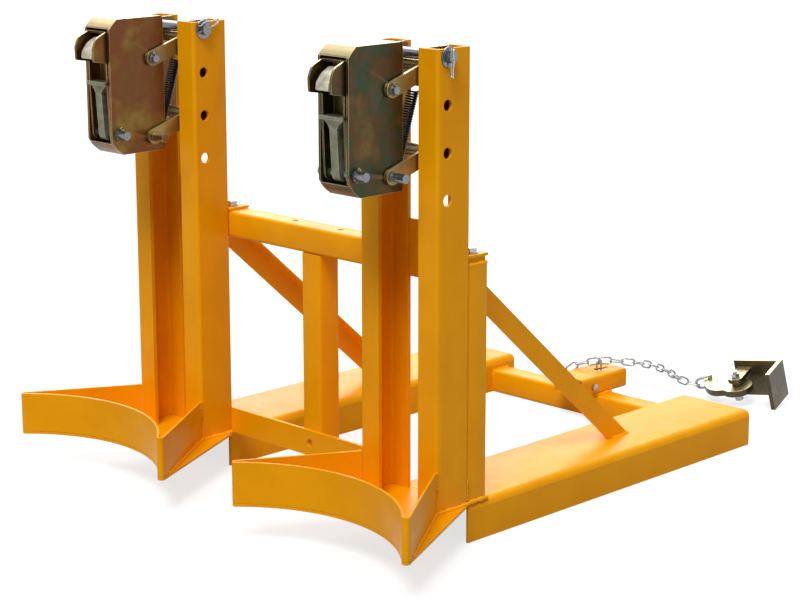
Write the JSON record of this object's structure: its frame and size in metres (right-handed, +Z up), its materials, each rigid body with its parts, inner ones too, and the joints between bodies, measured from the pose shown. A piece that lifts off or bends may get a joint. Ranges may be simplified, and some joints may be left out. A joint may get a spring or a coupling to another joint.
{
  "type": "drum lifter",
  "caption": "Fork-mounted steel frame whose masts carry hinged beak clamps that grip drum rims above curved side cradles, with a safety chain to the truck.",
  "frame": {"origin": "on the ground, under the middle of the whole part's box with its chain laid out", "axes": "+X runs across the masts toward the right one, +Y runs back along the fork pockets to the truck, +Z is up; the drums stand on the -Y side"},
  "size_m": [1.057, 1.4366, 0.883],
  "materials": {
    "enamel": "golden-yellow enamel over welded steel",
    "chromate": "yellow-chromated zinc plate, olive brown with iridescent patches",
    "casting": "pale grey as-cast steel",
    "zinc": "bright zinc plate",
    "spring_black": "black oiled spring steel"
  },
  "bodies": {
    "frame": {"anchor_bolt": "zinc", "centre_post": "enamel", "chain_anchor_tube": "enamel", "left_brace": "enamel", "left_carriage": "chromate", "left_cradle_plate": "enamel", "left_cradle_strip": "enamel", "left_fork_pocket": "enamel", "left_mast_east_channel": "enamel", "left_mast_west_channel": "enamel", "left_pin_washer": "zinc", "left_rear_post": "enamel", "left_strap": "enamel", "left_strap_bolt_east": "zinc", "left_strap_bolt_west": "zinc", "left_tie_plate": "enamel", "lower_crossbar": "enamel", "rear_cross_tube": "enamel", "right_brace": "enamel", "right_carriage": "chromate", "right_cradle_plate": "enamel", "right_cradle_strip": "enamel", "right_fork_pocket": "enamel", "right_mast_east_channel": "enamel", "right_mast_west_channel": "enamel", "right_pin_washer": "zinc", "right_rear_post": "enamel", "right_strap": "enamel", "right_strap_bolt_east": "zinc", "right_strap_bolt_west": "zinc", "right_tie_plate": "enamel", "upper_beam": "enamel"},
    "left_pin": {"left_adjusting_pin": "zinc"},
    "left_upper_link": {"left_upper_link": "chromate"},
    "left_lower_link": {"left_lower_link": "chromate"},
    "left_head": {"left_head_casing": "chromate", "left_jaw_pin": "zinc", "left_upper_link_pin": "zinc", "left_lower_link_pin": "zinc", "left_lift_spring": "spring_black"},
    "left_beak": {"left_beak_lever": "chromate", "left_upper_claw": "casting"},
    "left_jaw": {"left_lower_jaw": "casting"},
    "right_pin": {"right_adjusting_pin": "zinc"},
    "right_upper_link": {"right_upper_link": "chromate"},
    "right_lower_link": {"right_lower_link": "chromate"},
    "right_head": {"right_head_casing": "chromate", "right_jaw_pin": "zinc", "right_upper_link_pin": "zinc", "right_lower_link_pin": "zinc", "right_lift_spring": "spring_black"},
    "right_beak": {"right_beak_lever": "chromate", "right_upper_claw": "casting"},
    "right_jaw": {"right_lower_jaw": "casting"},
    "chain": {"safety_chain": "zinc", "chain_shackle": "zinc"},
    "hook": {"hook_plate": "chromate"},
    "bracket": {"truck_bracket": "chromate", "pivot_bolt": "zinc"}
  },
  "joints": [
    {"name": "left_pin_turn", "type": "hinge", "parent": "frame", "child": "left_pin", "pos_m": [-0.3205, -0.48801, 0.858], "axis": [1, 0, 0], "continuous": true},
    {"name": "left_link_swing", "type": "hinge", "parent": "frame", "child": "left_upper_link", "pos_m": [-0.3205, -0.47201, 0.838], "axis": [1, 0, 0], "range_deg": [0, 25], "stiffness_Nm_per_rad": 8, "springref_deg": -63.03},
    {"name": "left_lower_link_swing", "type": "hinge", "parent": "frame", "child": "left_lower_link", "pos_m": [-0.3205, -0.47201, 0.693], "axis": [1, 0, 0], "range_deg": [0, 25]},
    {"name": "left_head_level", "type": "hinge", "parent": "left_upper_link", "child": "left_head", "pos_m": [-0.3205, -0.56801, 0.807], "axis": [1, 0, 0], "range_deg": [-25, 0], "deforming": ["left_lift_spring"]},
    {"name": "left_beak_swing", "type": "hinge", "parent": "left_head", "child": "left_beak", "pos_m": [-0.3205, -0.64301, 0.672], "axis": [1, 0, 0], "range_deg": [-15, 0]},
    {"name": "left_jaw_swing", "type": "hinge", "parent": "left_beak", "child": "left_jaw", "pos_m": [-0.3205, -0.64301, 0.672], "axis": [1, 0, 0], "range_deg": [0, 8]},
    {"name": "right_pin_turn", "type": "hinge", "parent": "frame", "child": "right_pin", "pos_m": [0.3045, -0.48801, 0.858], "axis": [1, 0, 0], "continuous": true},
    {"name": "right_link_swing", "type": "hinge", "parent": "frame", "child": "right_upper_link", "pos_m": [0.3045, -0.47201, 0.838], "axis": [1, 0, 0], "range_deg": [0, 25], "stiffness_Nm_per_rad": 8, "springref_deg": -63.03},
    {"name": "right_lower_link_swing", "type": "hinge", "parent": "frame", "child": "right_lower_link", "pos_m": [0.3045, -0.47201, 0.693], "axis": [1, 0, 0], "range_deg": [0, 25]},
    {"name": "right_head_level", "type": "hinge", "parent": "right_upper_link", "child": "right_head", "pos_m": [0.3045, -0.56801, 0.807], "axis": [1, 0, 0], "range_deg": [-25, 0], "deforming": ["right_lift_spring"]},
    {"name": "right_beak_swing", "type": "hinge", "parent": "right_head", "child": "right_beak", "pos_m": [0.3045, -0.64301, 0.672], "axis": [1, 0, 0], "range_deg": [-15, 0]},
    {"name": "right_jaw_swing", "type": "hinge", "parent": "right_beak", "child": "right_jaw", "pos_m": [0.3045, -0.64301, 0.672], "axis": [1, 0, 0], "range_deg": [0, 8]},
    {"name": "chain_swing", "type": "hinge", "parent": "frame", "child": "chain", "pos_m": [0.02, 0.37999, 0.09], "axis": [0, 0, 1], "range_deg": [-20, 0]},
    {"name": "hook_swing", "type": "hinge", "parent": "chain", "child": "hook", "pos_m": [0.11905, 0.64521, 0.03103], "axis": [-0.0747, -0.2398, 0.9679], "range_deg": [-20, 20]},
    {"name": "bracket_swing", "type": "hinge", "parent": "hook", "child": "bracket", "pos_m": [0.2, 0.63199, 0.034], "axis": [-0.0747, -0.2398, 0.9679], "range_deg": [-25, 25]}
  ],
  "couplings": [
    {"joint": "left_lower_link_swing", "follows": "left_link_swing", "ratio": 1},
    {"joint": "left_head_level", "follows": "left_link_swing", "ratio": -1},
    {"joint": "right_lower_link_swing", "follows": "right_link_swing", "ratio": 1},
    {"joint": "right_head_level", "follows": "right_link_swing", "ratio": -1}
  ]
}
